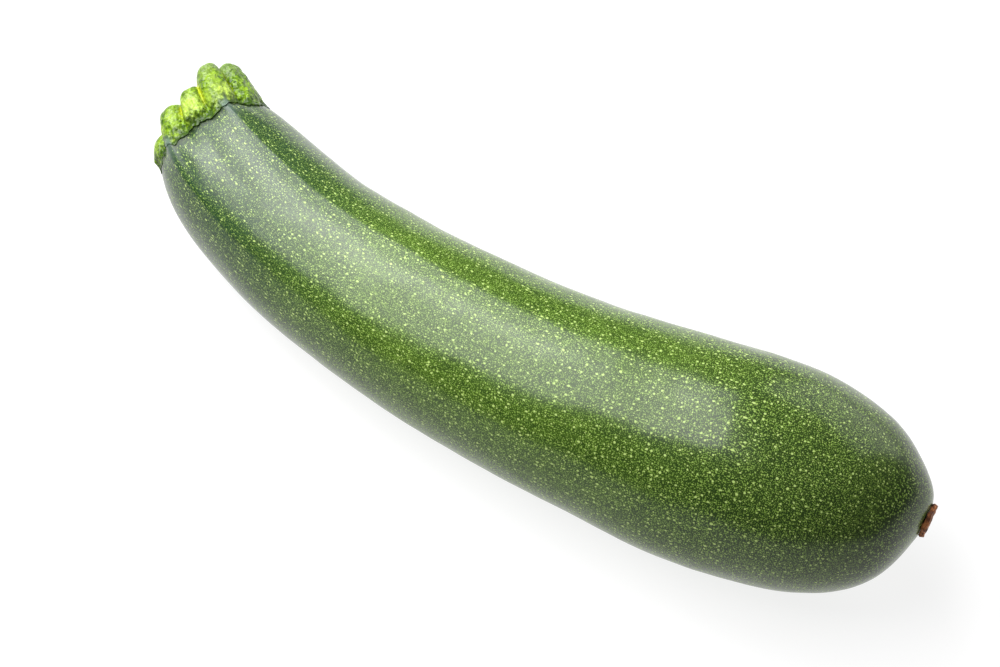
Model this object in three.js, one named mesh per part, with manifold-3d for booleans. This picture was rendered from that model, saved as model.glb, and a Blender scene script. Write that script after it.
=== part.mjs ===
import * as THREE from 'three';
import { mergeVertices } from 'three/addons/utils/BufferGeometryUtils.js';
import Module from 'manifold-3d';

// A courgette as picked, lying on its side: the fruit, the stub of its stalk and the
// dry scar where the flower was. Millimetres, +Z up, stalk towards -X, scar towards +X.
// "Along" is a distance on the fruit's bent axis from the stalk's seat. An angle round
// the axis is 0 at the top and grows towards -Y.

// Girth of the fruit
const BELLY_RADIUS = 25.8;       // widest section
const BELLY_ALONG = 153.7;       // where it is
const DOME_LENGTH = 44.8;        // from the widest section to the tip of the dome
const DOME_FULLNESS = 2.65;      // 2 is an ellipse, more is blunter
const NECK_DROP = 8;             // how much slimmer the stalk end is than the belly
const SHOULDER_DROP = 3.3;       // rounding of the edge round the stalk
const SHOULDER_LENGTH = 7;
const SWELL = { along: 70, width: 15, height: 0.25 };
const WAIST = { along: 140, width: 14, height: -0.2 };
const SIDE_LUMP = { along: 142, width: 16, height: 1.4 };
const SIDE_LUMP_ANGLE = THREE.MathUtils.degToRad(108);
const SIDE_LUMP_HALF_ANGLE = THREE.MathUtils.degToRad(40);

// Bend of the axis, seen from above: a Bezier curve with a small sway near its middle
const BEND = [[0, 1.5], [66, -30.7], [176, -2], [193.6, -1.4]];
const SWAY = { along: 115, width: 18, height: -0.7 };

// The tip of the dome drifts off the axis, over this length, so the scar sits off centre
const TIP_LENGTH = 14;
const TIP_DRIFT_UP = 1.5;
const TIP_DRIFT_SIDE = -1.7;     // towards +Y
const TIP_DRIFT_CURVE = 4;       // grows with this power

// How it lies
const REST_FLAT_DEPTH = 0.6;     // depth of the flat spot pressed on the underside
const REST_FROM = 22;            // the underside keeps to the surface from here
const REST_TO = 158;             // to here
const REST_EASING = 5;           // and leaves it this gently
const NECK_LIFT = 7;             // the neck curves up off the surface to this height
const NECK_LIFT_LENGTH = 85;

// Ribs: five run down from the stalk's main lobes and fade into soft corners
const RIB_ANGLES = [-13, 50, 122, 196, 270].map((degrees) => THREE.MathUtils.degToRad(degrees));
const CORNER_HEIGHT = 0.035;     // share of the radius, at the neck
const CORNER_FADE = 75;
const CORNER_ROUNDING = 0.09;    // share of the way from one rib to the next
const RIB_HEIGHT = 0.9;
const RIB_HALF_WIDTH = 0.07;     // share of the way from one rib to the next
const RIB_FADE = 14;

// Stub of the stalk
const SEAT_GAP = 0.3;
const STALK_HEIGHT = 8.6;        // at the middle of its slanted cut
const CUT_SLANT = 3;             // how much higher the cut is on its high side
const CUT_HIGH_ANGLE = THREE.MathUtils.degToRad(-40);
const CUT_DISH = 2.6;            // hollow in the middle of the cut face
const STALK_BASE_RADIUS = 14.8;
const STALK_TOP_RADIUS = 13;
const STALK_LEAN = 1.5;
const STALK_LEAN_ANGLE = THREE.MathUtils.degToRad(-90);
const FURROW_DEPTH = 0.15;       // between the ten lobes, share of the radius
const MAIN_LOBE_EXTRA = 0.04;    // the five main lobes stand out by this share
const MAIN_LOBE_RISE = 0.8;      // and up
const STALK_LEAN_CURVE = 1.5;    // the lean grows with this power of the height
// Half outline of the stub as [share of radius, share of height]: cut face, wall, seat
const STALK_OUTLINE = [
  [0, 1], [0.3, 1], [0.55, 1], [0.75, 1], [0.88, 0.99], [0.96, 0.94],
  [1, 0.85], [1, 0.68], [1, 0.5], [1, 0.33], [1, 0.18], [1, 0.07],
  [1, 0], [0.5, 0], [0, 0],
];

// Scar of the flower
const SCAR_RADIUS = 4.1;
const SCAR_THICKNESS = 1.1;
const SCAR_SEAT_RADIUS = 4.4;
const SCAR_MIDDLE_SHARE = 0.6;   // radius of its flat middle
const SCAR_RIM_SHARE = 0.93;     // radius at which its rim starts to round over
const SCAR_RIM_SET_BACK = 0.1;
const SCAR_DISH = 0.4;           // hollow of its outer face
const SCAR_WAVES = [             // of its ragged rim: count, height and start
  { count: 3, share: 0.05, start: 0 },
  { count: 7, share: 0.03, start: 1 },
];

// Facets
const FACETS_AROUND = 80;        // a facet edge falls on each rib and each furrow
const FRUIT_RINGS = 42;
const SCAR_FACETS_AROUND = 30;
const SEAT_RING_RADIUS = 6.6;    // facet ring on the fruit's flat seat
const WELD_DISTANCE = 1e-4;
const DIRECTION_STEP = 0.5;      // the axis points from this far before to this far after
const CUTTING_BLOCK = [400, 200, 50];

const wasm = await Module();
wasm.setup();

const bump = (along, { along: middle, width, height }) =>
  height * Math.exp(-(((along - middle) / width) ** 2));

function girth(along) {
  const swells = bump(along, SWELL) + bump(along, WAIST);
  if (along > BELLY_ALONG) {
    const share = Math.min(1, (along - BELLY_ALONG) / DOME_LENGTH);
    return BELLY_RADIUS * Math.sqrt(1 - share ** DOME_FULLNESS) + swells;
  }
  const taper = NECK_DROP * (1 - along / BELLY_ALONG);
  const shoulder = SHOULDER_DROP * Math.exp(-along / SHOULDER_LENGTH);
  return BELLY_RADIUS - taper - shoulder + swells;
}

// The dome is cut off where it has narrowed to the seat of the scar
const seatShare = (1 - (SCAR_SEAT_RADIUS / BELLY_RADIUS) ** 2) ** (1 / DOME_FULLNESS);
const FRUIT_LENGTH = BELLY_ALONG + DOME_LENGTH * seatShare;

const bend = new THREE.CubicBezierCurve3(...BEND.map(([x, y]) => new THREE.Vector3(x, y, 0)));

// 0 below zero and x above it, with a soft turn between
const easedRamp = (x) => REST_EASING * Math.log1p(Math.exp(x / REST_EASING));

function axisPoint(along) {
  const inside = THREE.MathUtils.clamp(along, 0, FRUIT_LENGTH);
  const point = bend.getPointAt(inside / FRUIT_LENGTH);
  const settled = REST_FROM + easedRamp(inside - REST_FROM) - easedRamp(inside - REST_TO);
  const resting = girth(settled) - REST_FLAT_DEPTH;
  const lift = NECK_LIFT * Math.max(0, 1 - inside / NECK_LIFT_LENGTH) ** 2;
  return new THREE.Vector3(point.x, point.y + bump(inside, SWAY), resting + lift);
}

// Point at an angle and radius round the axis; before the seat and past the scar the axis is straight
function aroundAxis(along, angle, radius) {
  const inside = THREE.MathUtils.clamp(along, DIRECTION_STEP, FRUIT_LENGTH - DIRECTION_STEP);
  const before = axisPoint(inside - DIRECTION_STEP);
  const forward = axisPoint(inside + DIRECTION_STEP).sub(before).normalize();
  const side = new THREE.Vector3().crossVectors(forward, new THREE.Vector3(0, 0, 1)).normalize();
  const up = new THREE.Vector3().crossVectors(side, forward);
  const beyond = along - THREE.MathUtils.clamp(along, 0, FRUIT_LENGTH);
  const tip = Math.max(0, 1 - Math.max(0, FRUIT_LENGTH - along) / TIP_LENGTH) ** TIP_DRIFT_CURVE;
  return axisPoint(along)
    .addScaledVector(forward, beyond)
    .addScaledVector(up, radius * Math.cos(angle) + TIP_DRIFT_UP * tip)
    .addScaledVector(side, radius * Math.sin(angle) + TIP_DRIFT_SIDE * tip);
}

// Direction of a turn round the axis, counted as 1 from one main rib to the next
function angleOf(turn) {
  const rib = Math.floor(turn) % RIB_ANGLES.length;
  const next = rib + 1 < RIB_ANGLES.length ? RIB_ANGLES[rib + 1] : RIB_ANGLES[0] + 2 * Math.PI;
  return THREE.MathUtils.lerp(RIB_ANGLES[rib], next, turn - Math.floor(turn));
}

// Height of the ribs, soft corners and side lump over the round section. A corner stands
// out at each rib and the skin is drawn in halfway between, by about as much on average.
function relief(along, turn) {
  const fromRib = turn - Math.round(turn);
  const tip = THREE.MathUtils.smoothstep(FRUIT_LENGTH - along, 0, DOME_LENGTH);
  const away = Math.hypot(fromRib, CORNER_ROUNDING) - CORNER_ROUNDING / 2;
  const section = 2 * (1 - 2 * away) ** 2 - 2 / 3;
  const corner = CORNER_HEIGHT * Math.exp(-along / CORNER_FADE) * section;
  const rib = RIB_HEIGHT * Math.exp(-along / RIB_FADE) * Math.exp(-((fromRib / RIB_HALF_WIDTH) ** 2));
  const fromLump = (angleOf(turn) - SIDE_LUMP_ANGLE) / SIDE_LUMP_HALF_ANGLE;
  const lump = bump(along, SIDE_LUMP) * Math.exp(-(fromLump ** 2));
  return corner * girth(along) * tip + rib + lump;
}

// Revolves a profile of [radius, along] pairs, then moves each of its points
function revolved(profile, facets, move) {
  const points = profile.map(([radius, along]) => new THREE.Vector2(radius, along));
  const geometry = new THREE.LatheGeometry(points, facets);
  const position = geometry.attributes.position;
  for (let i = 0; i < position.count; i += 1) {
    const radius = Math.hypot(position.getX(i), position.getZ(i));
    const column = Math.floor(i / profile.length) % facets;
    const turn = (RIB_ANGLES.length * column) / facets;
    position.setXYZ(i, ...move(position.getY(i), turn, radius).toArray());
  }
  return welded(geometry);
}

// Merges shared points and drops the empty triangles at the poles
function welded(geometry) {
  geometry.deleteAttribute('normal');
  geometry.deleteAttribute('uv');
  const merged = mergeVertices(geometry, WELD_DISTANCE);
  const corners = merged.index.array;
  const kept = [];
  for (let i = 0; i < corners.length; i += 3) {
    const [a, b, c] = corners.slice(i, i + 3);
    if (a !== b && b !== c && c !== a) kept.push(a, b, c);
  }
  merged.setIndex(kept);
  return merged;
}

function solidOf(geometry) {
  return new wasm.Manifold(new wasm.Mesh({
    numProp: 3,
    vertProperties: Float32Array.from(geometry.attributes.position.array),
    triVerts: Uint32Array.from(geometry.index.array),
  }));
}

function geometryOf(solid) {
  const { vertProperties, triVerts } = solid.getMesh();
  const geometry = new THREE.BufferGeometry();
  geometry.setAttribute('position', new THREE.BufferAttribute(vertProperties, 3));
  geometry.setIndex(new THREE.BufferAttribute(triVerts, 1));
  return geometry;
}

// The flat spot: all that would lie below the surface is cut away
function restingOnSurface(geometry) {
  const below = new THREE.BoxGeometry(...CUTTING_BLOCK);
  below.translate(0, 0, -CUTTING_BLOCK[2] / 2);
  return geometryOf(solidOf(geometry).subtract(solidOf(welded(below))));
}

function fruitGeometry() {
  const profile = [[0, 0], [SEAT_RING_RADIUS, 0]];
  for (let i = 0; i <= FRUIT_RINGS; i += 1) {
    const along = FRUIT_LENGTH * (1 - Math.cos((Math.PI * i) / FRUIT_RINGS)) / 2;
    profile.push([girth(along), along]);
  }
  profile.push([0, FRUIT_LENGTH]);
  const skin = revolved(profile, FACETS_AROUND, (along, turn, radius) => {
    const outward = radius / girth(along);
    return aroundAxis(along, angleOf(turn), radius + outward * relief(along, turn));
  });
  return restingOnSurface(skin);
}

// The stub is revolved as a unit form, then given its lobes, slanted cut and lean
function stalkGeometry() {
  const profile = STALK_OUTLINE.map(([reach, rise]) => [reach, -rise]);
  const lean = aroundAxis(0, STALK_LEAN_ANGLE, STALK_LEAN).sub(axisPoint(0));
  return revolved(profile, FACETS_AROUND, (depth, turn, reach) => {
    const rise = -depth;
    const angle = angleOf(turn);
    const furrow = 1 - Math.abs(Math.cos(2 * Math.PI * turn));
    const main = Math.cos(2 * Math.PI * turn);
    const lobe = 1 - FURROW_DEPTH * furrow + MAIN_LOBE_EXTRA * main;
    const wall = THREE.MathUtils.lerp(STALK_BASE_RADIUS, STALK_TOP_RADIUS, rise);
    const cut = STALK_HEIGHT + CUT_SLANT * reach * Math.cos(angle - CUT_HIGH_ANGLE)
      - CUT_DISH * (1 - reach ** 2) + (MAIN_LOBE_RISE * main - furrow) * reach ** 2;
    return aroundAxis(-SEAT_GAP - rise * cut, angle, reach * wall * lobe)
      .addScaledVector(lean, rise ** STALK_LEAN_CURVE);
  });
}

// A dry, slightly ragged disc
function scarGeometry() {
  const inner = FRUIT_LENGTH + SEAT_GAP;
  const outer = inner + SCAR_THICKNESS;
  const profile = [
    [0, inner],
    [SCAR_RADIUS * SCAR_MIDDLE_SHARE, inner],
    [SCAR_RADIUS * SCAR_RIM_SHARE, inner + SCAR_RIM_SET_BACK],
    [SCAR_RADIUS, inner + SCAR_THICKNESS / 2],
    [SCAR_RADIUS * SCAR_RIM_SHARE, outer],
    [SCAR_RADIUS * SCAR_MIDDLE_SHARE, outer - SCAR_DISH * SCAR_MIDDLE_SHARE],
    [0, outer - SCAR_DISH],
  ];
  return revolved(profile, SCAR_FACETS_AROUND, (along, turn, radius) => {
    const angle = angleOf(turn);
    const ragged = SCAR_WAVES.map(({ count, share, start }) => share * Math.sin(count * angle + start));
    return aroundAxis(along, angle, radius * (1 + ragged.reduce((sum, wave) => sum + wave)));
  });
}

function finish(colour, roughness) {
  return new THREE.MeshStandardMaterial({ color: colour, roughness, metalness: 0, flatShading: true });
}

function piece(name, geometry, material) {
  const mesh = new THREE.Mesh(geometry, material);
  mesh.name = name;
  return mesh;
}

const group = new THREE.Group();
group.add(
  piece('fruit', fruitGeometry(), finish('#3f5f2c', 0.35)),
  piece('stalk', stalkGeometry(), finish('#9dbb3c', 0.5)),
  piece('blossom_scar', scarGeometry(), finish('#7a4a2c', 0.8)),
);

// The origin is the middle of the whole thing's footprint, on the surface it lies on
const middle = new THREE.Box3().setFromObject(group).getCenter(new THREE.Vector3());
group.position.set(-middle.x, -middle.y, 0);

export default group;
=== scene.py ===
"""A courgette as picked, lying on its side on a white table.

Metres, +Z up, stalk towards -X, flower scar towards +X. "Along" is a distance on the fruit's
bent axis from the stalk's seat. An angle round the axis is 0 at the top and grows towards -Y.
"""
import math

import bmesh
import bpy
import numpy as np
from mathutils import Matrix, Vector, noise


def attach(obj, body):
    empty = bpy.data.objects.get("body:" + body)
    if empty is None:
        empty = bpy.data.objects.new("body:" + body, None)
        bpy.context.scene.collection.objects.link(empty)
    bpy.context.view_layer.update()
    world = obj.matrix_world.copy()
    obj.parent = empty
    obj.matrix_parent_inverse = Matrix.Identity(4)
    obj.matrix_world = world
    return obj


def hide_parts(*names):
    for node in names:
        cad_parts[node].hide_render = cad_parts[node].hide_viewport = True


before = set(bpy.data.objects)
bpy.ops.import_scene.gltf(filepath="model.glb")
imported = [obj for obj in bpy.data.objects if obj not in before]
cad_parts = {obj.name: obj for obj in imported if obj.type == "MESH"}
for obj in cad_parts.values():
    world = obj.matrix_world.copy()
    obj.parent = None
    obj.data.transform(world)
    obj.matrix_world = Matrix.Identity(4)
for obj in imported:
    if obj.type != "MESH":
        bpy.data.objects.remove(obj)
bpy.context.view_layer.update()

MM = 0.001

# Girth of the fruit
BELLY_RADIUS = 25.8 * MM
BELLY_ALONG = 153.7 * MM
DOME_LENGTH = 44.8 * MM
DOME_FULLNESS = 2.65
NECK_DROP = 8 * MM
SHOULDER_DROP = 3.3 * MM
SHOULDER_LENGTH = 7 * MM
SWELL = (70 * MM, 15 * MM, 0.25 * MM)      # along, width, height
WAIST = (140 * MM, 14 * MM, -0.2 * MM)
SIDE_LUMP = (142 * MM, 16 * MM, 1.4 * MM)
SIDE_LUMP_ANGLE = 108                      # degrees
SIDE_LUMP_HALF_ANGLE = 40
SCAR_SEAT_RADIUS = 4.4 * MM

# Bend of the axis, seen from above, from the stalk's seat
BEND = np.array([(0, 1.5), (66, -30.7), (176, -2), (193.6, -1.4)]) * MM
SWAY = (115 * MM, 18 * MM, -0.7 * MM)
FOOTPRINT_MIDDLE = np.array([92.1271, -8.8180, 0]) * MM     # where the frame's origin lies
REST_FLAT_DEPTH = 0.6 * MM
REST_FROM = 22 * MM
REST_TO = 158 * MM
REST_EASING = 5 * MM
NECK_LIFT = 7 * MM
NECK_LIFT_LENGTH = 85 * MM
TIP_LENGTH = 14 * MM             # the tip of the dome drifts off the axis over this length
TIP_DRIFT_UP = 1.5 * MM
TIP_DRIFT_SIDE = -1.7 * MM
TIP_DRIFT_CURVE = 4

# Ribs of the fruit, which run down from the stalk's main lobes
RIB_ANGLES = (-13, 50, 122, 196, 270)
CORNER_HEIGHT = 0.035
CORNER_FADE = 75 * MM
CORNER_ROUNDING = 0.09           # share of the way from one rib to the next
RIB_HEIGHT = 0.8 * MM
RIB_HALF_WIDTH = 0.065
RIB_FADE = 12 * MM
PANEL_DRAW = 0.9 * MM            # the skin between the first two ribs is nearly flat at the seat
PANEL_FADE = 65 * MM

# Stub of the stalk: lobes and the furrows between them take turns, from the lobe on the +Y side.
# Angle in degrees, height of the top and how far the wall stands out there, in millimetres.
STALK_ROUND = (
    (-88, 11.4, 0.8), (-70, 11.4, 0.1),
    (-50, 12.4, 0.9), (-35, 10.4, -2.2),
    (-17, 12.7, 1.6), (1, 8.8, -1.5),
    (16, 9.0, 0.3), (30, 6.0, -1.7),
    (47, 8.3, 0.7), (65, 4.5, -2.8),
    (84, 5.0, 0.9), (103, 4.4, -2.0),
    (122, 6.4, 0.5), (141, 5.6, -2.0),
    (159, 7.4, 0.4), (178, 7.0, -1.8),
    (196, 9.6, 0.5), (214, 9.0, -2.0),
    (233, 10.8, 0.5), (252, 10.2, -1.5),
)
STALK_PALENESS = (0.2, 0.1, 1.0, 0.8, 0.7, 0.4, 0.5, 0.6, 0.6, 0.5)     # of each lobe
LOBE_FULLNESS = 3                # 2 is a round lobe, more is flatter with narrower furrows
# How far the stalk's flesh comes down over the fruit: angle in degrees, millimetres
STALK_HEM = (
    (-90, 0.4), (-75, 1.2), (-60, 2.8), (-50, 3.5), (-38, 3.0), (-27, 1.6), (-17, 0.9),
    (-10, 1.4), (-3, 2.0), (3, 2.6), (10, 2.0), (18, 1.6), (28, 1.7), (36, 2.4), (42, 2.4),
    (50, 1.4), (60, 0.4), (70, 1.8), (85, 2.4), (103, 1.6), (122, 0.3), (141, 1.4),
    (159, 1.0), (178, 1.6), (196, 0.2), (214, 1.4), (233, 1.2), (252, 1.4),
)
HEM_RAGGEDNESS = 1.2 * MM
STALK_BASE_RADIUS = 14.5 * MM
STALK_TOP_RADIUS = 12.6 * MM
CUT_MIDDLE_HEIGHT = 6.4 * MM
CUT_SLANT = 3 * MM
CUT_HIGH_ANGLE = -40
CUT_EDGE_ROUNDING = 0.2          # share of the radius and of the height
STALK_LEAN = 1.5 * MM
LOBE_BELLY = 0.4 * MM            # the lobes are fullest at mid height
HEM_RELIEF_LENGTH = 3.2 * MM     # the lobes are fully formed this far above the hem
FIBRE_STRETCH = 6                # fibres of the stalk's wall are this much longer than wide
HEM_LIP = 0.08 * MM              # how far the stalk's hem stands out of the fruit
SMOOTH_HEM_WIDTH = 0.8 * MM      # the stalk's wall is rough above this
BED_DEPTH = 1.1 * MM             # the furrows run on over the fruit's shoulder
BED_FADE = 3 * MM

# Scar of the flower
SCAR_RADIUS = 4.1 * MM
SCAR_TRIM = 0.98                 # keeps its ragged rim within the solid
SCAR_THICKNESS = 1.1 * MM
SCAR_GAP = 0.3 * MM
SCAR_SET_BACK = 0.16 * MM        # keeps its crumpled face within the solid

# Natural unevenness. Each pair is the size of the lumps and their height.
SKIN_LUMPS = ((16 * MM, 0.3 * MM), (5 * MM, 0.06 * MM))
SKIN_INSET = 0.2 * MM            # keeps the lumps within the solid
STALK_LUMPS = ((2.6 * MM, 0.25 * MM), (1.2 * MM, 0.16 * MM))
STALK_FIBRES = (1 * MM, 0.22 * MM)
HEM_LUMP_SIZE = 1.2 * MM
SCAR_CRUMPLE = (1.1 * MM, 0.25 * MM)

# Place of the skin's pattern
PATTERN_GIRTH_POWER = 0.55       # 1 follows the girth, 0 ignores it
FLECK_STRETCH = 0.3              # flecks near the stalk are longer by this share
FLECK_STRETCH_FADE = 35 * MM

# The camera, and where it looks
VIEW_TURN = 31.9
VIEW_HEIGHT = 60
VIEW_TARGET = Vector((-3.453, 0.064, 26)) * MM
VIEW_DISTANCE = 576 * MM
LENS = 90


def bump(along, place):
    middle, width, height = place
    return height * np.exp(-(((along - middle) / width) ** 2))


def girth(along):
    """Plain radius of the fruit."""
    share = np.clip((along - BELLY_ALONG) / DOME_LENGTH, 0, 1)
    dome = BELLY_RADIUS * np.sqrt(1 - share ** DOME_FULLNESS)
    swells = bump(along, SWELL) + bump(along, WAIST)
    taper = NECK_DROP * (1 - along / BELLY_ALONG)
    shoulder = SHOULDER_DROP * np.exp(-along / SHOULDER_LENGTH)
    return np.where(along > BELLY_ALONG, dome, BELLY_RADIUS - taper - shoulder) + swells


SEAT_SHARE = (1 - (SCAR_SEAT_RADIUS / BELLY_RADIUS) ** 2) ** (1 / DOME_FULLNESS)
FRUIT_LENGTH = BELLY_ALONG + DOME_LENGTH * SEAT_SHARE


def bezier(share):
    """Points of the plan's curve, at shares of its parameter."""
    t = np.asarray(share)[..., None]
    start, first, second, end = BEND
    return ((1 - t) ** 3 * start + 3 * (1 - t) ** 2 * t * first
            + 3 * (1 - t) * t ** 2 * second + t ** 3 * end)


CURVE_STEPS = np.linspace(0, 1, 401)
STEP_LENGTHS = np.linalg.norm(np.diff(bezier(CURVE_STEPS), axis=0), axis=1)
CURVE_LENGTHS = np.concatenate([[0], np.cumsum(STEP_LENGTHS)]) / STEP_LENGTHS.sum()


def eased_ramp(x):
    """0 below zero and x above it, with a soft turn between."""
    return REST_EASING * np.log1p(np.exp(x / REST_EASING))


def axis_point(along):
    inside = np.clip(along, 0, FRUIT_LENGTH)
    settled = REST_FROM + eased_ramp(inside - REST_FROM) - eased_ramp(inside - REST_TO)
    plan = bezier(np.interp(inside / FRUIT_LENGTH, CURVE_LENGTHS, CURVE_STEPS))
    resting = girth(settled) - REST_FLAT_DEPTH
    lift = NECK_LIFT * np.maximum(0, 1 - inside / NECK_LIFT_LENGTH) ** 2
    return np.stack([plan[..., 0], plan[..., 1] + bump(inside, SWAY), resting + lift], axis=-1)


def unit(vectors):
    return vectors / np.linalg.norm(vectors, axis=-1, keepdims=True)


def around_axis(along, angle, radius):
    """Points at an angle and radius round the bent axis, in the frame."""
    step = 0.5 * MM
    inside = np.clip(along, step, FRUIT_LENGTH - step)
    forward = unit(axis_point(inside + step) - axis_point(inside - step))
    side = unit(np.cross(forward, (0, 0, 1)))
    up = np.cross(side, forward)
    beyond = along - np.clip(along, 0, FRUIT_LENGTH)
    to_tip = np.maximum(0, FRUIT_LENGTH - along) / TIP_LENGTH
    tip = np.maximum(0, 1 - to_tip) ** TIP_DRIFT_CURVE
    return (axis_point(along) + forward * beyond[..., None]
            + up * (radius * np.cos(angle) + TIP_DRIFT_UP * tip)[..., None]
            + side * (radius * np.sin(angle) + TIP_DRIFT_SIDE * tip)[..., None] - FOOTPRINT_MIDDLE)


def round_share(angle, stops):
    """Counts 1 from each of the stops round the axis to the next. Stops in degrees."""
    degrees = (np.degrees(angle) - stops[0]) % 360 + stops[0]
    return np.interp(degrees, [*stops, stops[0] + 360], range(len(stops) + 1))


def from_rib(angle):
    """How far from the nearest rib, as a share of the way to the next one."""
    turn = round_share(angle, RIB_ANGLES)
    return turn - np.round(turn)


def smooth(x, low, high):
    t = np.clip((x - low) / (high - low), 0, 1)
    return t * t * (3 - 2 * t)


def rib_strength(along, angle):
    """1 on a rib's crest at the seat, fading along it and to its sides."""
    return np.exp(-along / RIB_FADE) * np.exp(-((from_rib(angle) / RIB_HALF_WIDTH) ** 2))


def lumps(points, size, height):
    """Soft natural unevenness, read in space."""
    return height * np.array([noise.noise(Vector(p) / size) for p in points])


def fruit_radius(along, angle):
    """Radius of the fruit with its ribs, corners, side lump and the furrows' beds at its shoulder."""
    inside = np.clip(along, 0, FRUIT_LENGTH)
    tip = smooth(FRUIT_LENGTH - inside, 0, DOME_LENGTH)
    away = np.sqrt(from_rib(angle) ** 2 + CORNER_ROUNDING ** 2) - CORNER_ROUNDING / 2
    corner = CORNER_HEIGHT * np.exp(-inside / CORNER_FADE) * (2 * (1 - 2 * away) ** 2 - 2 / 3)
    around = np.degrees(angle) % 360 - SIDE_LUMP_ANGLE
    lump = bump(inside, SIDE_LUMP) * np.exp(-((around / SIDE_LUMP_HALF_ANGLE) ** 2))
    bed = BED_DEPTH * np.exp(-inside / BED_FADE) * from_lobe(angle)[2] ** 2
    rib = RIB_HEIGHT * rib_strength(inside, angle)
    between = smooth(2 * np.abs(from_rib(angle)), 0, 1) * (round_share(angle, RIB_ANGLES) < 1)
    panel = PANEL_DRAW * np.exp(-inside / PANEL_FADE) * between
    return girth(inside) * (1 + corner * tip) + rib + lump - bed - panel


def from_lobe(angle):
    """Nearest lobe, nearest furrow, and the share of the way from that lobe to that furrow."""
    turn = round_share(angle, [place[0] for place in STALK_ROUND]) / 2
    lobe = np.round(turn)
    count = len(STALK_ROUND) // 2
    return lobe.astype(int) % count, np.floor(turn).astype(int) % count, 2 * np.abs(turn - lobe)


def between_lobes(angle, column):
    """A column of the stalk's table in millimetres, rounded over each lobe to a crease."""
    values = np.array([place[column] for place in STALK_ROUND]) * MM
    lobe, furrow, share = from_lobe(angle)
    crest = values[0::2][lobe]
    return crest + (values[1::2][furrow] - crest) * share ** LOBE_FULLNESS


def stalk_hem(angle):
    """How far the stalk's flesh comes down over the fruit."""
    stops, depths = np.array(STALK_HEM).T
    turn = round_share(angle, stops)
    low = np.floor(turn).astype(int) % len(depths)
    share = smooth(turn - np.floor(turn), 0, 1)
    depth = depths[low] + (depths[(low + 1) % len(depths)] - depths[low]) * share
    ring = np.stack([np.cos(angle), np.sin(angle), 0 * angle], axis=-1) * STALK_BASE_RADIUS
    return depth * MM + lumps(ring, HEM_LUMP_SIZE, HEM_RAGGEDNESS)


def spun(outline, columns):
    """Spins an outline about Z. Each point is (radius, height, cuts to the next point)."""
    mesh = bmesh.new()
    points = [mesh.verts.new((radius, 0, height)) for radius, height, _ in outline]
    edges = [mesh.edges.new(pair) for pair in zip(points, points[1:])]
    for edge, (_, _, cuts) in zip(edges, outline):
        if cuts:
            bmesh.ops.bisect_edges(mesh, edges=[edge], cuts=cuts)
    bmesh.ops.spin(mesh, geom=mesh.verts[:] + mesh.edges[:], cent=(0, 0, 0), axis=(0, 0, 1),
                   angle=math.tau, steps=columns, use_merge=True)
    bmesh.ops.remove_doubles(mesh, verts=mesh.verts, dist=1e-6)
    bmesh.ops.recalc_face_normals(mesh, faces=mesh.faces)
    return mesh


def moved(mesh, name, shape):
    """Makes a piece of a spun unit form. shape gives each point's place and its attributes."""
    data = bpy.data.meshes.new(name)
    mesh.to_mesh(data)
    mesh.free()
    count = len(data.vertices)
    flat = np.empty(count * 3, np.float32)
    data.vertices.foreach_get("co", flat)
    x, y, height = flat.reshape(count, 3).astype(float).T
    places, attributes = shape(np.hypot(x, y), np.arctan2(y, x), height)
    data.vertices.foreach_set("co", places.astype(np.float32).ravel())
    for key, values in attributes.items():
        kind = "FLOAT_VECTOR" if values.ndim == 2 else "FLOAT"
        field = "vector" if values.ndim == 2 else "value"
        attribute = data.attributes.new(key, kind, "POINT")
        attribute.data.foreach_set(field, values.astype(np.float32).ravel())
    checked = bmesh.new()
    checked.from_mesh(data)
    bmesh.ops.recalc_face_normals(checked, faces=checked.faces)
    checked.to_mesh(data)
    checked.free()
    data.shade_smooth()
    data.update()
    piece = bpy.data.objects.new(name, data)
    bpy.context.scene.collection.objects.link(piece)
    return piece


def skin_place(along, angle, radius):
    """Where a point lies in the fruit's own straightened, gently stretched space."""
    even = radius ** PATTERN_GIRTH_POWER * BELLY_RADIUS ** (1 - PATTERN_GIRTH_POWER)
    stretch = np.log((np.exp(along / FLECK_STRETCH_FADE) + FLECK_STRETCH) / (1 + FLECK_STRETCH))
    inwards = np.maximum(0, BELLY_RADIUS - radius) * (along > BELLY_ALONG)
    meridian = FLECK_STRETCH_FADE * stretch + inwards
    return np.stack([even * np.cos(angle), even * np.sin(angle), meridian], axis=-1)


def make_fruit():
    """The fruit, spun from a can one unit high and drawn to its shape."""
    outline = [(0, 0, 3), (1, 0, 300), (1, 1, 5), (0, 1, 0)]

    def shape(reach, angle, share):
        along = FRUIT_LENGTH * (1 - np.cos(math.pi * share)) / 2
        radius = fruit_radius(along, angle)
        straight = skin_place(along, angle, radius)
        soft = sum(lumps(straight, size, height) for size, height in SKIN_LUMPS)
        places = around_axis(along, angle, reach * (radius + soft - SKIN_INSET))
        places[:, 2] = np.maximum(places[:, 2], 0)
        return places, {
            "skin": straight,
            "past_hem": along - stalk_hem(angle),
            "rib": rib_strength(along, angle) * np.exp(-along / RIB_FADE),
            "to_scar": FRUIT_LENGTH - along,
        }

    fruit = moved(spun(outline, 200), "fruit_skin", shape)
    unroll(fruit.data)
    return fruit


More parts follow.
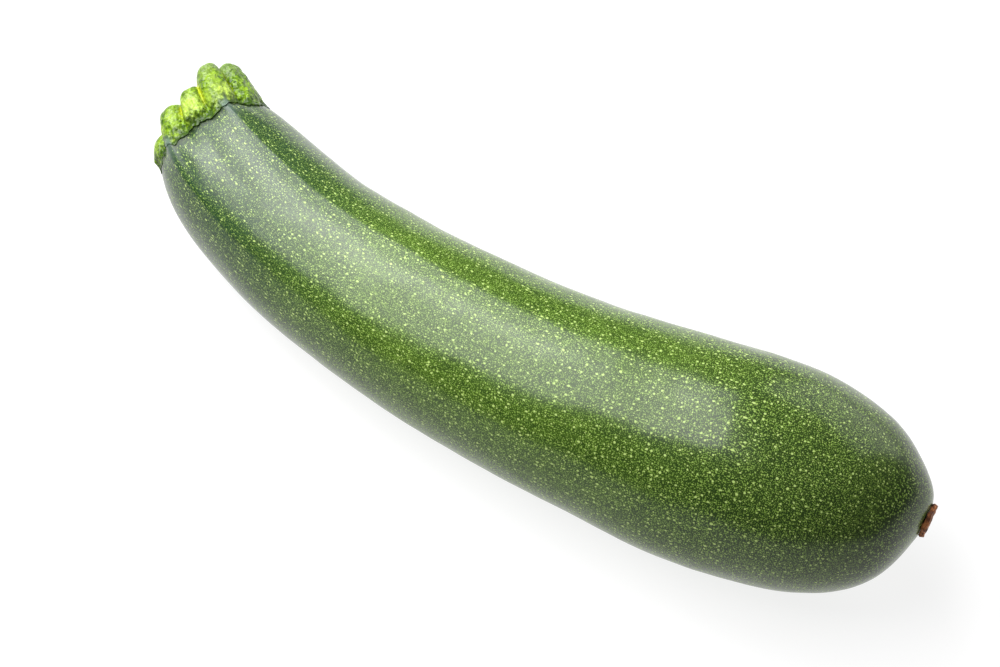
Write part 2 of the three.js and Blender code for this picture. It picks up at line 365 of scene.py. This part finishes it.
def unroll(data):
    """Gives the skin a flat map, unrolled round the axis, with its seam on the underside."""
    skin = np.empty(len(data.vertices) * 3, np.float32)
    data.attributes["skin"].data.foreach_get("vector", skin)
    x, y, meridian = skin.reshape(-1, 3).T
    corners = np.empty(len(data.loops), np.int32)
    data.loops.foreach_get("vertex_index", corners)
    starts = np.empty(len(data.polygons), np.int32)
    data.polygons.foreach_get("loop_start", starts)
    angle = np.arctan2(y, x)[corners]
    widest = np.maximum.reduceat(angle, starts)
    counts = np.diff(np.append(starts, len(corners)))
    angle = np.where(np.repeat(widest, counts) - angle > math.pi, angle + math.tau, angle)
    flat = np.stack([angle * BELLY_RADIUS, meridian[corners]], axis=-1)
    data.uv_layers.new(name="unrolled").data.foreach_set("uv", flat.astype(np.float32).ravel())


def make_stalk():
    """The stalk, spun from a can with a rounded top edge. Level 1 is its cut face, 0 the fruit's
    seat and -1 the hem of its flesh on the fruit."""
    r = CUT_EDGE_ROUNDING
    corner = [(1 - r + r * math.sin(t), 1 - r + r * math.cos(t), 0)
              for t in np.linspace(0.2, math.pi / 2, 7)]
    outline = [(0, 1, 26), (1 - r, 1, 1), *corner[:-1], (*corner[-1][:2], 40),
               (1, 0, 16), (1, -1, 1), (0.94, -1.06, 3), (0, -1.06, 0)]
    zero = np.zeros(1)

    def shape(reach, angle, level):
        hem = stalk_hem(angle)
        rise = np.clip(level, 0, 1)
        to_high_side = reach * np.cos(angle - math.radians(CUT_HIGH_ANGLE))
        slanted = CUT_MIDDLE_HEIGHT + CUT_SLANT * to_high_side
        inward = np.clip(reach, 0, 1) ** 2
        height = rise * (slanted * (1 - inward) + between_lobes(angle, 1) * inward)
        along = np.where(level >= 0, -height, np.clip(-level, 0, 1) * hem)
        wall = STALK_BASE_RADIUS + (STALK_TOP_RADIUS - STALK_BASE_RADIUS) * rise
        wall += between_lobes(angle, 2) + LOBE_BELLY * np.sin(math.pi * rise)
        seat = fruit_radius(np.maximum(along, 0), angle) + HEM_LIP
        above_hem = hem - along
        radius = reach * (seat + (wall - seat) * smooth(above_hem, 0, HEM_RELIEF_LENGTH))
        places = around_axis(along, angle, radius)
        middle = around_axis(along, angle, np.zeros_like(along))
        seat_middle = around_axis(zero, zero, zero)
        sideways = unit(around_axis(zero, zero - math.pi / 2, zero + 1) - seat_middle)
        outward = unit(places - middle + 1e-9)
        fibre_place = np.stack([STALK_TOP_RADIUS * np.cos(angle), STALK_TOP_RADIUS * np.sin(angle),
                                along / FIBRE_STRETCH], axis=-1)
        rough = sum(lumps(places, size, height) for size, height in STALK_LUMPS)
        rough += lumps(fibre_place, *STALK_FIBRES)
        places += outward * (rough * smooth(above_hem, 0, SMOOTH_HEM_WIDTH) * reach)[:, None]
        places += sideways * (STALK_LEAN * rise ** 1.5)[:, None]
        lobe, _, share = from_lobe(angle)
        return places, {
            "crest": 1 - share,
            "paleness": np.array(STALK_PALENESS)[lobe] * (1 - share ** 2),
            "above_hem": above_hem,
            "rib": rib_strength(0 * along, angle),
            "cut": smooth(level, 0.985, 1.0) * smooth(1 - reach, 0.02, 0.16),
        }

    return moved(spun(outline, 260), "stalk_stub", shape)


def make_scar():
    """The scar, spun from a flat dish and given a ragged rim."""
    outline = [(0, 0, 4), (0.93, 0, 3), (1, 0.3, 3), (0.95, 1, 3), (0.6, 0.75, 4), (0, 0.6, 0)]

    def shape(reach, angle, level):
        ragged = 1 + 0.05 * np.sin(3 * angle) + 0.03 * np.sin(7 * angle + 1)
        frill = 0.04 * np.sin(13 * angle) * np.sin(5 * angle + 2) * reach ** 2
        along = FRUIT_LENGTH + SCAR_GAP + SCAR_THICKNESS * level
        places = around_axis(along, angle, SCAR_RADIUS * reach * (ragged + frill) * SCAR_TRIM)
        middle = around_axis(along, angle, np.zeros_like(along))
        forward = unit(around_axis(along + MM, angle, np.zeros_like(along)) - middle)
        crumple = lumps(places, *SCAR_CRUMPLE) * reach - SCAR_SET_BACK
        places += forward * crumple[:, None]
        return places, {}

    return moved(spun(outline, 90), "flower_scar", shape)


# Colours of the skin
BODY_GREENS = ((0.03, 0.064, 0.007, 1), (0.046, 0.09, 0.01, 1))
NECK_GREEN = (0.016, 0.042, 0.02, 1)
TIP_GREEN = (0.016, 0.027, 0.008, 1)
LINE_GREEN = (0.012, 0.03, 0.006, 1)
SCAR_RING_GREEN = (0.09, 0.14, 0.04, 1)
GRAIN_GREEN = (0.25, 0.41, 0.07, 1)
MIDDLING_FLECK_GREEN = (0.38, 0.54, 0.12, 1)
LARGE_FLECK_GREEN = (0.46, 0.6, 0.17, 1)
RIB_GREEN = (0.09, 0.13, 0.1, 1)
# Painted shade: a dark line on the fruit in the crease just below the stalk's hem
PAINTED_CREASE_SHADE_GREEN = (0.012, 0.022, 0.008, 1)

# Colours of the stalk and the scar. A pair is what an uneven colour varies between.
LIME = ((0.035, 0.09, 0.003, 1), (0.17, 0.3, 0.007, 1))
PALE_LIME = (0.46, 0.62, 0.1, 1)
LOBE_TOP_GREEN = (0.15, 0.23, 0.06, 1)
FURROW_YELLOW = (0.42, 0.48, 0.006, 1)
STALK_FOOT_GREEN = (0.025, 0.06, 0.004, 1)
STALK_RIB_GREEN = (0.1, 0.15, 0.11, 1)
CUT_FLESH = ((0.4, 0.52, 0.16, 1), (0.62, 0.7, 0.34, 1))
SCAR_BROWN = ((0.1, 0.028, 0.01, 1), (0.5, 0.18, 0.06, 1))

# Shape of the marks on the skin
MARK_STRETCH = 1.15              # a fleck is this much longer than wide
LINE_STRETCH = 5.0
FLECK_SOFTNESS = 0.4             # of its edge, as a share of its radius


# Materials

def node(tree, kind, settings=None, **inputs):
    """Adds a node, sets its properties and fills or links its inputs, by name or as i0, i1, i2."""
    made = tree.nodes.new(kind)
    for key, value in (settings or {}).items():
        setattr(made, key, value)
    for key, value in inputs.items():
        place = int(key[1:]) if key[1:].isdigit() else key.replace("_", " ")
        socket = made.inputs[place]
        if isinstance(value, bpy.types.NodeSocket):
            tree.links.new(value, socket)
        else:
            socket.default_value = value
    return made


def maths(tree, operation, first, second=0.5, third=0.5):
    made = node(tree, "ShaderNodeMath", {"operation": operation}, i0=first, i1=second, i2=third)
    return made.outputs[0]


def ramp(tree, value, low, high, start=0.0, end=1.0):
    """Maps low..high to start..end, eased and clamped."""
    made = node(tree, "ShaderNodeMapRange", {"interpolation_type": "SMOOTHSTEP"},
                Value=value, From_Min=low, From_Max=high, To_Min=start, To_Max=end)
    return made.outputs[0]


def mixed(tree, share, first, second):
    """Mixes a share of the second colour into the first."""
    made = tree.nodes.new("ShaderNodeMix")
    made.data_type = "RGBA"
    sockets = (made.inputs[0], made.inputs[6], made.inputs[7])
    for socket, value in zip(sockets, (share, first, second)):
        if isinstance(value, bpy.types.NodeSocket):
            tree.links.new(value, socket)
        else:
            socket.default_value = value
    return made.outputs[2]


def attribute(tree, name, output="Fac"):
    return node(tree, "ShaderNodeAttribute", {"attribute_name": name}).outputs[output]


def group_with(name, inputs, outputs):
    """A node group with its named sockets, and its tree, input and output nodes."""
    tree = bpy.data.node_groups.new(name, "ShaderNodeTree")
    for key, kind, value in inputs:
        socket = tree.interface.new_socket(key, in_out="INPUT", socket_type=kind)
        if value is not None:
            socket.default_value = value
    for key, kind in outputs:
        tree.interface.new_socket(key, in_out="OUTPUT", socket_type=kind)
    return tree, tree.nodes.new("NodeGroupInput"), tree.nodes.new("NodeGroupOutput")


def flecks_group(name, dimensions):
    """Small irregular spots, present in a share of the cells. Puts out a mask."""
    tree, given, out = group_with(
        name,
        [("Place", "NodeSocketVector", None), ("Spacing per metre", "NodeSocketFloat", 500.0),
         ("Share", "NodeSocketFloat", 0.5), ("Radius", "NodeSocketFloat", 0.35),
         ("Softness", "NodeSocketFloat", 0.1), ("Raggedness", "NodeSocketFloat", 0.3)],
        [("Mask", "NodeSocketFloat")])
    scaled = node(tree, "ShaderNodeVectorMath", {"operation": "SCALE"},
                  i0=given.outputs["Place"], Scale=given.outputs["Spacing per metre"]).outputs[0]
    wander = node(tree, "ShaderNodeTexNoise", Vector=scaled, Scale=1.7, Detail=0.0).outputs["Color"]
    centred = node(tree, "ShaderNodeVectorMath", {"operation": "SUBTRACT"},
                   i0=wander, i1=(0.5, 0.5, 0.5)).outputs[0]
    pushed = node(tree, "ShaderNodeVectorMath", {"operation": "SCALE"},
                  i0=centred, Scale=given.outputs["Raggedness"]).outputs[0]
    place = node(tree, "ShaderNodeVectorMath", {"operation": "ADD"}, i0=scaled, i1=pushed).outputs[0]
    cells = node(tree, "ShaderNodeTexVoronoi", {"feature": "F1", "voronoi_dimensions": dimensions},
                 Vector=place, Scale=1.0, Randomness=0.9)
    luck = node(tree, "ShaderNodeSeparateColor", Color=cells.outputs["Color"])
    present = maths(tree, "LESS_THAN", luck.outputs[0], given.outputs["Share"])
    size = maths(tree, "MULTIPLY", given.outputs["Radius"],
                 ramp(tree, luck.outputs[1], 0.0, 1.0, 0.55, 1.25))
    edge = maths(tree, "SUBTRACT", size, cells.outputs["Distance"])
    spot = maths(tree, "DIVIDE", edge, given.outputs["Softness"])
    clamped = node(tree, "ShaderNodeClamp", Value=spot).outputs[0]
    tree.links.new(maths(tree, "MULTIPLY", clamped, present), out.inputs["Mask"])
    return tree


def cells_group():
    """Cell-like unevenness of plant tissue. Puts out a height from 0 to 1."""
    tree, given, out = group_with(
        "plant cells",
        [("Place", "NodeSocketVector", None), ("Cells per metre", "NodeSocketFloat", 900.0),
         ("Waviness", "NodeSocketFloat", 0.5)],
        [("Height", "NodeSocketFloat")])
    cells = node(tree, "ShaderNodeTexVoronoi", {"feature": "SMOOTH_F1"},
                 Vector=given.outputs["Place"], Scale=given.outputs["Cells per metre"])
    waves = node(tree, "ShaderNodeTexNoise", Vector=given.outputs["Place"],
                 Scale=maths(tree, "MULTIPLY", given.outputs["Cells per metre"], 0.4), Detail=3.0)
    domed = maths(tree, "SUBTRACT", 1.0, cells.outputs["Distance"])
    made = node(tree, "ShaderNodeMix", Factor=given.outputs["Waviness"], A=domed,
                B=waves.outputs["Fac"])
    tree.links.new(made.outputs[0], out.inputs["Height"])
    return tree


def placed(tree, group, **inputs):
    made = tree.nodes.new("ShaderNodeGroup")
    made.node_tree = group
    for key, value in inputs.items():
        socket = made.inputs[key.replace("_", " ")]
        if isinstance(value, bpy.types.NodeSocket):
            tree.links.new(value, socket)
        else:
            socket.default_value = value
    return made.outputs[0]


def new_material(name, colour, roughness, ior=1.45):
    material = bpy.data.materials.new(name)
    material.use_nodes = True
    material.diffuse_color = colour
    tree = material.node_tree
    shader = tree.nodes["Principled BSDF"]
    shader.inputs["Roughness"].default_value = roughness
    shader.inputs["IOR"].default_value = ior
    return material, tree, shader


def bumped(tree, shader, height, distance, strength=1.0, below=None):
    made = node(tree, "ShaderNodeBump", Height=height, Distance=distance, Strength=strength)
    if below is not None:
        tree.links.new(below, made.inputs["Normal"])
    tree.links.new(made.outputs[0], shader.inputs["Normal"])
    return made.outputs[0]


SPOTS = flecks_group("spots on the unrolled skin", "2D")
TIP_SPOTS = flecks_group("spots at the flower end", "3D")
CELLS = cells_group()


def drawn_out(tree, place, stretch):
    """The unrolled place, drawn out lengthwise for marks that run along the fruit."""
    return node(tree, "ShaderNodeVectorMath", {"operation": "MULTIPLY"},
                i0=place, i1=(1, 1 / stretch, 1)).outputs[0]


def flecks(tree, group, place, spacing, share, radius, raggedness):
    return placed(tree, group, Place=place, Spacing_per_metre=spacing, Share=share, Radius=radius,
                  Softness=radius * FLECK_SOFTNESS, Raggedness=raggedness)


def green_skin():
    """Waxy dark green skin with pale flecks of three sizes, greyer on the ribs, and painted shade in
    the crease under the stalk.
    """
    material, tree, shader = new_material("waxy_green_skin", (0.05, 0.1, 0.015, 1), 0.35, 1.38)
    place = attribute(tree, "skin", "Vector")
    unrolled = node(tree, "ShaderNodeUVMap", {"uv_map": "unrolled"}).outputs[0]
    past_hem = attribute(tree, "past_hem")
    rib = attribute(tree, "rib")
    to_scar = attribute(tree, "to_scar")
    broad = node(tree, "ShaderNodeTexNoise", Vector=place, Scale=45.0, Detail=3.0).outputs["Fac"]
    off_rib = ramp(tree, rib, 0.15, 0.6, 1.0, 0.1)
    on_neck = ramp(tree, to_scar, 0.12, 0.185)
    on_tip = ramp(tree, to_scar, 0.004, 0.018, 1.0, 0.0)

    # The green under the flecks
    body = mixed(tree, ramp(tree, broad, 0.3, 0.7), *BODY_GREENS)
    green = mixed(tree, ramp(tree, to_scar, 0.01, 0.09, 0.2, 1.0), TIP_GREEN,
                  mixed(tree, on_neck, body, NECK_GREEN))
    lines = node(tree, "ShaderNodeTexNoise", Vector=drawn_out(tree, unrolled, LINE_STRETCH),
                 Scale=900.0, Detail=2.0).outputs["Fac"]
    lined = mixed(tree, ramp(tree, lines, 0.35, 0.6, 0.5, 0.0), green, LINE_GREEN)
    under = mixed(tree, ramp(tree, to_scar, 0.0, 0.0025, 0.6, 0.0), lined, SCAR_RING_GREEN)

    # Flecks on the unrolled skin, and in space at the tip, where the unrolled skin draws together
    along_fruit = drawn_out(tree, unrolled, MARK_STRETCH)

    def on_body(spacing, share, radius):
        return flecks(tree, SPOTS, along_fruit, spacing, share, radius, 0.25)

    def with_tip(body_flecks, spacing, radius):
        tip_flecks = flecks(tree, TIP_SPOTS, place, spacing, 0.95, radius, 0.4)
        return node(tree, "ShaderNodeMix", Factor=on_tip, A=body_flecks, B=tip_flecks).outputs[0]

    middling_share = ramp(tree, on_neck, 0.0, 1.0, 0.55, 0.7)
    large_share = ramp(tree, on_neck, 0.0, 1.0, 0.45, 0.3)
    grain = with_tip(on_body(3000.0, 0.9, 0.35), 1700.0, 0.42)
    middling = with_tip(on_body(1500.0, middling_share, 0.23), 1000.0, 0.31)
    large = on_body(780.0, large_share, 0.19)

    # Each size of fleck shows through to its own share, and less on a rib
    colour = under
    shown = (
        (grain, ramp(tree, on_neck, 0.0, 1.0, 0.75, 0.4), GRAIN_GREEN),
        (middling, 0.7, MIDDLING_FLECK_GREEN),
        (large, 0.85, LARGE_FLECK_GREEN),
    )
    for mask, share, fleck_green in shown:
        weight = maths(tree, "MULTIPLY", off_rib, share)
        colour = mixed(tree, maths(tree, "MULTIPLY", mask, weight), colour, fleck_green)

    ribbed = mixed(tree, ramp(tree, rib, 0.1, 0.7, 0.0, 0.75), colour, RIB_GREEN)
    # Painted shade in the crease below the stalk's hem, where the stalk meets the fruit, kept off the
    # ribs
    painted_crease_shade = maths(tree, "MULTIPLY", ramp(tree, past_hem, 0.0003, 0.002, 0.8, 0.0), off_rib)
    final = mixed(tree, painted_crease_shade, ribbed, PAINTED_CREASE_SHADE_GREEN)
    tree.links.new(final, shader.inputs["Base Color"])
    uneven = maths(tree, "MULTIPLY_ADD", broad, 0.12, 0.175)
    tree.links.new(maths(tree, "ADD", uneven, maths(tree, "MULTIPLY", large, 0.1)),
                   shader.inputs["Roughness"])
    cells = placed(tree, CELLS, Place=place, Cells_per_metre=1500.0, Waviness=0.35)
    first = bumped(tree, shader, cells, 0.00004, 0.25)
    bumped(tree, shader, large, 0.00006, 0.3, first)
    return material


def stalk_flesh():
    """Lime green stalk: dark mottles, pale crests, yellow in the furrows and pits all over."""
    material, tree, shader = new_material("lime_stalk_flesh", (0.3, 0.45, 0.05, 1), 0.32, 1.34)
    place = node(tree, "ShaderNodeTexCoord").outputs["Object"]
    crest = attribute(tree, "crest")
    above_hem = attribute(tree, "above_hem")
    mottle = node(tree, "ShaderNodeTexNoise", Vector=place, Scale=900.0, Detail=4.0,
                  Roughness=0.65).outputs["Fac"]
    patch = node(tree, "ShaderNodeTexNoise", Vector=place, Scale=190.0, Detail=2.0).outputs["Fac"]
    lime = mixed(tree, ramp(tree, mottle, 0.4, 0.62), *LIME)

    # Pale patches low on the crests, and duller tops of the tall lobes
    low_down = ramp(tree, above_hem, 0.006, 0.0095, 1.0, 0.25)
    paleness = maths(tree, "MULTIPLY", attribute(tree, "paleness"), low_down)
    patchy = maths(tree, "MULTIPLY", paleness, ramp(tree, patch, 0.35, 0.6))
    pale = mixed(tree, maths(tree, "MULTIPLY", patchy, 0.85), lime, PALE_LIME)
    topped = mixed(tree, ramp(tree, above_hem, 0.009, 0.0115, 0.0, 0.6), pale, LOBE_TOP_GREEN)

    # Yellow furrows, a dark foot, and the ribs that run on from the fruit
    in_furrow = maths(tree, "MULTIPLY", ramp(tree, crest, 0.2, 0.02),
                      ramp(tree, above_hem, 0.003, 0.007))
    furrowed = mixed(tree, maths(tree, "MULTIPLY", in_furrow, 0.75), topped, FURROW_YELLOW)
    ragged = maths(tree, "MULTIPLY_ADD", mottle, 0.01, above_hem)
    footed = mixed(tree, ramp(tree, ragged, 0.0055, 0.0095, 0.95, 0.0), furrowed,
                   STALK_FOOT_GREEN)
    into_rib = maths(tree, "MULTIPLY", ramp(tree, above_hem, 0.0, 0.0035, 1.0, 0.0),
                     ramp(tree, attribute(tree, "rib"), 0.2, 0.7))
    wall = mixed(tree, into_rib, footed, STALK_RIB_GREEN)

    flesh = mixed(tree, ramp(tree, mottle, 0.35, 0.7), *CUT_FLESH)
    final = mixed(tree, attribute(tree, "cut"), wall, flesh)
    tree.links.new(final, shader.inputs["Base Color"])
    cells = placed(tree, CELLS, Place=place, Cells_per_metre=1300.0, Waviness=0.4)
    bumped(tree, shader, cells, 0.0007, 1.0)
    return material


def dry_scar():
    """Reddish brown and cork-like, with orange fibres."""
    material, tree, shader = new_material("dry_brown_scar", (0.25, 0.09, 0.04, 1), 0.75)
    place = node(tree, "ShaderNodeTexCoord").outputs["Object"]
    fibres = node(tree, "ShaderNodeTexNoise", Vector=place, Scale=900.0, Detail=4.0).outputs["Fac"]
    brown = mixed(tree, ramp(tree, fibres, 0.35, 0.65), *SCAR_BROWN)
    tree.links.new(brown, shader.inputs["Base Color"])
    bumped(tree, shader, fibres, 0.0003, 0.9)
    return material


def dress(piece, material, node_name):
    piece.data.materials.append(material)
    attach(piece, "root")
    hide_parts(node_name)


# Table, lights and camera
TABLE_HALF_WIDTH = 1.6
TABLE_GLOW = (0.84, 0.25)        # near the courgette and far from it
TABLE_GLOW_FADE = (0.25, 0.6)    # how far from it the glow starts and ends its fade
WORLD_COLOUR = (0.9, 0.95, 1, 1)
WORLD_STRENGTH = 0.06
# Direction the light comes from, distance, size and watts
SOFTBOXES = {
    "overhead_left": ((-0.42, -0.15, 0.89), 0.6, 0.45, 4.5),
    "back_left": ((-0.6, 0.28, 0.75), 0.5, 0.36, 2.8),
    "back_right": ((0.3, 0.86, 0.42), 0.5, 0.4, 0.9),
}


def white_table():
    """A matt table that glows, so that it stays white in the soft light."""
    data = bpy.data.meshes.new("table")
    mesh = bmesh.new()
    bmesh.ops.create_grid(mesh, x_segments=1, y_segments=1, size=TABLE_HALF_WIDTH)
    mesh.to_mesh(data)
    mesh.free()
    table = bpy.data.objects.new("table", data)
    bpy.context.scene.collection.objects.link(table)
    material, tree, shader = new_material("matt_white", (0.9, 0.9, 0.9, 1), 0.9)
    shader.inputs["Base Color"].default_value = (0.2, 0.2, 0.2, 1)
    shader.inputs["Specular IOR Level"].default_value = 0.0
    place = node(tree, "ShaderNodeTexCoord").outputs["Object"]
    away = node(tree, "ShaderNodeVectorMath", {"operation": "LENGTH"}, i0=place).outputs["Value"]
    glow = ramp(tree, away, *TABLE_GLOW_FADE, *TABLE_GLOW)
    tree.links.new(mixed(tree, glow, (0, 0, 0, 1), (1, 1, 1, 1)), shader.inputs["Emission Color"])
    shader.inputs["Emission Strength"].default_value = 1.0
    table.data.materials.append(material)


def softbox(name, direction, distance, size, power):
    light = bpy.data.lights.new(name, "AREA")
    light.shape = "SQUARE"
    light.size = size
    light.energy = power
    lamp = bpy.data.objects.new(name, light)
    away = Vector(direction).normalized()
    lamp.location = away * distance
    lamp.rotation_euler = away.to_track_quat("Z", "Y").to_euler()
    bpy.context.scene.collection.objects.link(lamp)


def studio():
    for name, values in SOFTBOXES.items():
        softbox(name, *values)
    world = bpy.data.worlds.new("studio")
    world.use_nodes = True
    background = world.node_tree.nodes["Background"]
    background.inputs["Color"].default_value = WORLD_COLOUR
    background.inputs["Strength"].default_value = WORLD_STRENGTH
    bpy.context.scene.world = world
    bpy.context.scene.view_settings.view_transform = "Standard"


def camera():
    data = bpy.data.cameras.new("camera")
    data.lens = LENS
    data.clip_start = 0.01
    made = bpy.data.objects.new("camera", data)
    turn, height = math.radians(VIEW_TURN), math.radians(VIEW_HEIGHT)
    back = Vector((math.sin(turn) * math.cos(height), -math.cos(turn) * math.cos(height),
                   math.sin(height)))
    made.location = VIEW_TARGET + back * VIEW_DISTANCE
    made.rotation_euler = (math.pi / 2 - height, 0, turn)
    bpy.context.scene.collection.objects.link(made)
    bpy.context.scene.camera = made


camera()
dress(make_fruit(), green_skin(), "fruit")
dress(make_stalk(), stalk_flesh(), "stalk")
dress(make_scar(), dry_scar(), "blossom_scar")
white_table()
studio()
